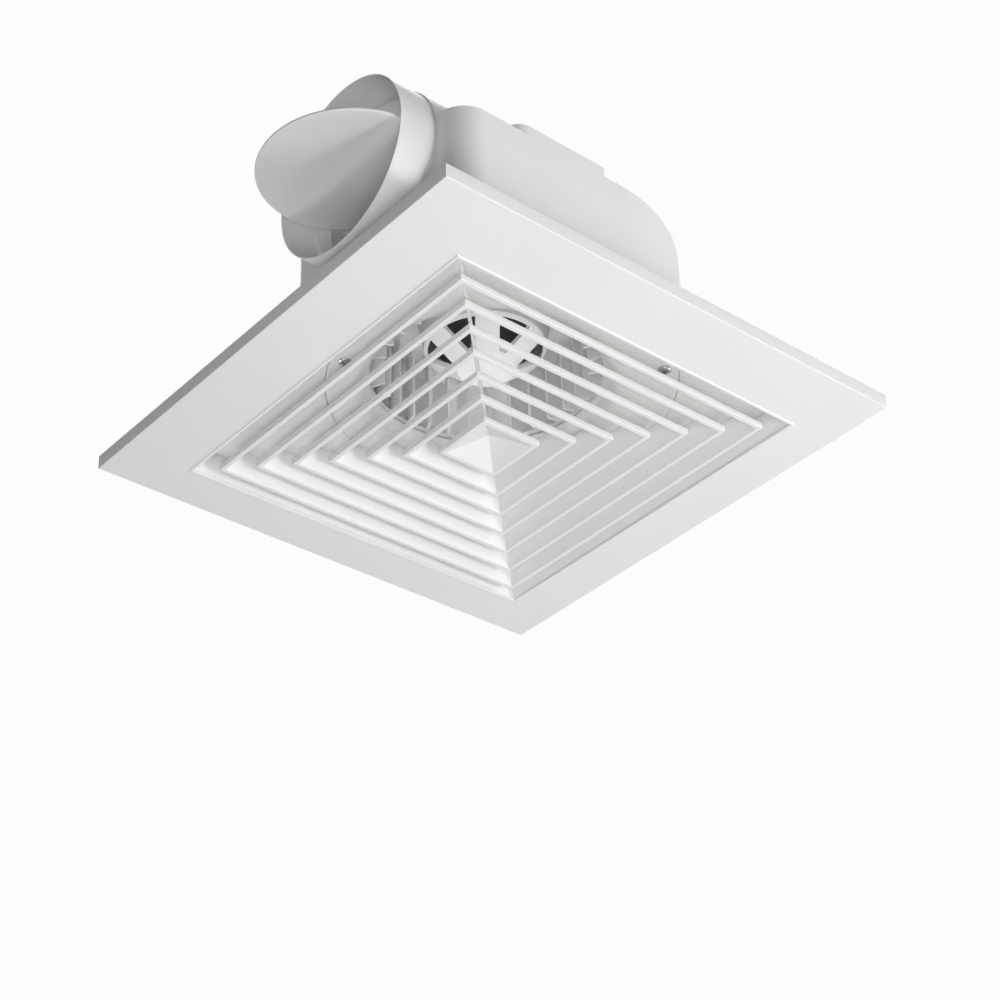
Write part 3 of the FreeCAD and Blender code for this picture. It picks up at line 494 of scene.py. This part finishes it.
# Screws: pan heads with a cross recess and a ringed shank, at the places of the CAD screws
screwSets = {"inlet_screws": {"shank": 0.00175, "head": 0.0018, "way": (0, 0, 1), "turn": 20},
             "box_screws": {"shank": 0.0015, "head": 0.0018, "way": (0, 0, 1), "turn": 35},
             "motor_screws": {"shank": 0.002, "head": 0.0022, "way": (0, 0, 1), "turn": 10},
             "cover_screws": {"shank": 0.0015, "head": 0.0018, "way": (0, 0, -1), "turn": 50},
             "clip_screws": {"shank": 0.0014, "head": 0.0016, "way": (1, 0, 0), "turn": 15}}
screwShape = {"rings": 16, "segments": 64, "slot": 0.2, "reach": 0.62, "fade": 0.16, "depth": 0.62,
              "domeDrop": 0.6, "domeFlat": 0.3, "domePower": 2.4, "thread": 0.0008, "root": 0.84, "point": 0.4,
              "turnStep": 37, "sharp": 50.0}


def smooth(low, high, value):
    t = min(max((value - low) / (high - low), 0.0), 1.0)
    return t * t * (3 - 2 * t)


def screwMesh(name, length, shank, radius, head):
    s = screwShape
    count = s["segments"]
    turns = [(math.cos(math.tau * k / count), math.sin(math.tau * k / count)) for k in range(count)]
    rings = []
    for i in range(1, s["rings"] + 1):
        share = i / s["rings"]
        slope = max(0.0, (share - s["domeFlat"]) / (1 - s["domeFlat"]))
        dome = head * (1 - s["domeDrop"] * slope ** s["domePower"])
        ring = []
        for c, d in turns:
            x, y = radius * share * c, radius * share * d
            groove = smooth(s["slot"] / 2, s["slot"] / 4, min(abs(x), abs(y)) / radius)
            groove *= smooth(s["reach"], s["reach"] - s["fade"], share)
            ring.append((x, y, -dome + groove * s["depth"] * head))
        rings.append(ring)
    steps = [(radius, 0.0), (shank, 0.0)]
    for i in range(int(length / s["thread"]) - 1):
        steps.append((shank * (s["root"] if i % 2 else 1.0), (i + 1) * s["thread"]))
    steps.append((shank * s["point"], length))
    rings += [[(r * c, r * d, z) for c, d in turns] for r, z in steps]
    points = [(0.0, 0.0, -head * (1 - s["depth"]))] + [p for ring in rings for p in ring] + [(0.0, 0.0, length)]
    last = len(points) - 1
    faces = []
    for k in range(count):
        n = (k + 1) % count
        faces.append((0, 1 + n, 1 + k))
        faces.append((last, last - count + k, last - count + n))
        for i in range(len(rings) - 1):
            low = 1 + i * count
            faces.append((low + k, low + n, low + count + n, low + count + k))
    return meshOf(name, points, faces)


# The box of each separate solid in a mesh
def islands(mesh):
    bm = bmesh.new()
    bm.from_mesh(mesh)
    bmesh.ops.remove_doubles(bm, verts=bm.verts, dist=meshing["cadWeld"])
    left = set(bm.verts)
    boxes = []
    while left:
        group = [left.pop()]
        for vert in group:
            for edge in vert.link_edges:
                other = edge.other_vert(vert)
                if other in left:
                    left.remove(other)
                    group.append(other)
        boxes.append([[pick(v.co[i] for v in group) for i in range(3)] for pick in (min, max)])
    bm.free()
    return sorted(boxes)


def screwsAt(node, shank, head, way, turn):
    s = screwShape
    meshes = []
    for i, (low, high) in enumerate(islands(nodes[node].data)):
        low, high = Vector(low), Vector(high)
        ahead = Vector(way)
        if way[0]:
            ahead *= math.copysign(1.0, low.x + high.x)  # clip screws point outwards
        size = high - low
        along = max(range(3), key=lambda axis: abs(ahead[axis]))
        radius = max(size[axis] for axis in range(3) if axis != along) / 2
        seat = (low + high) / 2 - ahead * (size[along] / 2 - head)
        mesh = screwMesh(node, size[along] - head, shank, radius, head)
        spin = Matrix.Rotation(math.radians(turn + s["turnStep"] * i), 4, "Z")
        mesh.transform(Matrix.Translation(seat) @ ahead.to_track_quat("Z", "Y").to_matrix().to_4x4() @ spin)
        meshes.append(mesh)
    mesh = joined(node, meshes)
    return addPiece(node + "Dressed", mesh, nodes[node]["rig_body"], slotOf[node], s["sharp"], (node,))


for node, values in screwSets.items():
    screwsAt(node, **values)
print("screws", len(screwSets))

# Outlet collar: the wall thins to a fine lip at the mouth
lip = {"wall": 0.0006, "reach": 0.0002}


def thinLip(bm, node):
    low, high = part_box(node)
    middleY, middleZ = (low[1] + high[1]) / 2, (low[2] + high[2]) / 2
    radius = (high[1] - low[1]) / 2 - lip["wall"]
    for vert in bm.verts:
        away = math.hypot(vert.co.y - middleY, vert.co.z - middleZ)
        if vert.co.x < low[0] + lip["reach"] and away < radius:
            vert.co.y = middleY + (vert.co.y - middleY) * radius / away
            vert.co.z = middleZ + (vert.co.z - middleZ) * radius / away


# Copies of CAD nodes with flat triangles merged and edges eased: the edge radius of each
easedNodes = {"housing_shell": 0.0016, "ceiling_flange": 0.0005, "outlet_spigot": 0.0005,
              "inlet_plate": 0.0004, "impeller": 0.0003, "motor_lower_shell": 0.0006, "motor_upper_shell": 0.0005,
              "wiring_box": 0.0008, "wiring_cover": 0.0008, "cable_gland": 0.0004, "capacitor": 0.001,
              "terminal_block": 0.0006}
easing = {"segments": 3, "limit": 35.0, "litCopyPlates": ("inlet_plate", "ceiling_flange")}


def eased(node, width):
    source = nodes[node]
    mesh = source.data.copy()
    bm = bmesh.new()
    bm.from_mesh(mesh)
    bmesh.ops.remove_doubles(bm, verts=bm.verts, dist=meshing["cadWeld"])
    if node == "outlet_spigot":
        thinLip(bm, node)
    flat = math.radians(meshing["flatAngle"])
    bmesh.ops.dissolve_limit(bm, angle_limit=flat, verts=bm.verts, edges=bm.edges)
    bm.to_mesh(mesh)
    bm.free()
    piece = addPiece(node + "Eased", mesh, source["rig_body"], slotOf[node], easing["limit"], (node,))
    # the inlet plate and ceiling flange take the lighter copy: painted light
    if node in easing["litCopyPlates"]:
        piece.data.materials[0] = plateLitCopy
    return bevelled(piece, width, easing["segments"], easing["limit"])


for node, width in easedNodes.items():
    eased(node, width)
print("eased nodes", len(easedNodes))

for node, part in nodes.items():
    part.data.materials.clear()
    part.data.materials.append(finishes[slotOf[node]])

# Camera at the photograph's place: metres, degrees, and millimetres for the lens and sensor
cameraSet = {"place": (-0.66686, -0.77094, -0.71931), "yaw": 48.876, "pitch": 33.364, "roll": -2.195,
             "lens": 83.544, "sensor": 36.0, "clip": 0.01}


def addCamera():
    yaw, pitch, roll = (math.radians(cameraSet[key]) for key in ("yaw", "pitch", "roll"))
    ahead = Vector((math.cos(pitch) * math.cos(yaw), math.cos(pitch) * math.sin(yaw), math.sin(pitch)))
    right = ahead.cross(Vector((0, 0, 1))).normalized()
    up = right.cross(ahead)
    side = right * math.cos(roll) + up * math.sin(roll)
    top = up * math.cos(roll) - right * math.sin(roll)
    data = bpy.data.cameras.new("photoCamera")
    data.lens = cameraSet["lens"]
    data.sensor_width = cameraSet["sensor"]
    data.clip_start = cameraSet["clip"]
    camera = bpy.data.objects.new("photoCamera", data)
    bpy.context.scene.collection.objects.link(camera)
    turn = Matrix((side, top, -ahead)).transposed().to_4x4()
    camera.matrix_world = Matrix.Translation(cameraSet["place"]) @ turn
    bpy.context.scene.camera = camera


addCamera()

# Soft studio light: lamps round the object, and three faint ones inside for light through its thin white walls
lamps = {
    "frontRight": {"place": (0.7, -1.6, -0.2), "size": 0.8, "watts": 9.4},
    "frontKey": {"place": (0.35, -1.45, -0.8), "size": 0.25, "watts": 7.0},
    "lowRight": {"place": (1.3, -0.9, -0.9), "size": 0.8, "watts": 9.2},
    "nearCamera": {"place": (-0.95, -1.1, -0.95), "size": 0.6, "watts": 6.2},
    "lowCamera": {"place": (-0.8, -0.9, -1.3), "size": 0.6, "watts": 4.4},
    "backLeft": {"place": (-0.7, 1.1, -1.2), "size": 1.0, "watts": 6.0},
    "backRight": {"place": (1.1, 1.1, -0.5), "size": 0.8, "watts": 2.8},
    "topBack": {"place": (0.3, 0.9, 1.4), "size": 1.4, "watts": 24.0},
    "inletFill": {"place": (-0.0246, -0.0282, -0.0036), "size": 0.116, "watts": 0.0105,
                  "aim": (-0.0246, -0.0282, 0.1)},
    "scrollFill": {"place": (0.0363, 0.0274, 0.012), "size": 0.018, "watts": 0.01,
                   "aim": (0.0363, 0.0274, 0.1)},
    "throatFill": {"place": (-0.1, -0.0635, 0.07), "size": 0.03, "watts": 0.005,
                   "aim": (-0.085, -0.0635, 0.11)},
}


def addLamp(name, place, size, watts, aim=(0, 0, 0.03)):
    data = bpy.data.lights.new(name, "AREA")
    data.shape = "DISK"
    data.size = size
    data.energy = watts
    lamp = bpy.data.objects.new(name, data)
    bpy.context.scene.collection.objects.link(lamp)
    lamp.location = place
    lamp.rotation_euler = (Vector(aim) - Vector(place)).to_track_quat("-Z", "Y").to_euler()
    lamp.visible_camera = False


for name, lamp in lamps.items():
    addLamp(name, **lamp)

# White background and pale floor: both are bright only where they are seen, directly or in a reflection
room = {"glow": 0.0, "white": 0.98, "floor": -1.6, "half": 6, "floorGlow": 0.4, "floorTones": (0.86, 0.84),
        "floorScale": 3.0, "floorDetail": 4.0, "floorRough": 0.8}


def addBackground():
    world = bpy.data.worlds.new("whiteRoom")
    bpy.context.scene.world = world
    world.use_nodes = True
    tree = world.node_tree
    back = tree.nodes["Background"]
    path = tree.nodes.new("ShaderNodeLightPath")
    seen = path.outputs["Is Camera Ray"]
    for ray in ("Is Transmission Ray", "Is Glossy Ray"):
        either = tree.nodes.new("ShaderNodeMath")
        either.operation = "MAXIMUM"
        tree.links.new(seen, either.inputs[0])
        tree.links.new(path.outputs[ray], either.inputs[1])
        seen = either.outputs[0]
    level = tree.nodes.new("ShaderNodeMapRange")
    level.inputs["To Min"].default_value = room["glow"]
    level.inputs["To Max"].default_value = 1.0
    tree.links.new(seen, level.inputs["Value"])
    tree.links.new(level.outputs["Result"], back.inputs["Strength"])
    back.inputs["Color"].default_value = rgb(room["white"], room["white"], room["white"])


def addFloor():
    half, z = room["half"], room["floor"]
    mesh = meshOf("studioFloor", [(-half, -half, z), (half, -half, z), (half, half, z), (-half, half, z)],
                  [(0, 1, 2, 3)])
    floor = bpy.data.objects.new("studioFloor", mesh)
    bpy.context.scene.collection.objects.link(floor)
    paint = Finish("floorPaint")
    light, dark = (rgb(tone, tone, tone) for tone in room["floorTones"])
    tone = paint.blend(paint.noise(room["floorScale"], room["floorDetail"]), light, dark)
    path = paint.node("ShaderNodeLightPath")
    seen = paint.out(path, "Is Camera Ray") + paint.out(path, "Is Glossy Ray")
    seen = seen + paint.out(path, "Is Transmission Ray")
    glow = paint.blend(seen, rgb(0.0, 0.0, 0.0), shade((1.0, 1.0, 1.0), room["floorGlow"]))
    floor.data.materials.append(paint.set(Base_Color=tone, Roughness=room["floorRough"], Emission_Color=glow,
                                          Emission_Strength=1.0))


addBackground()
addFloor()
bpy.context.scene.view_settings.view_transform = "Standard"
print("camera, lamps and room")
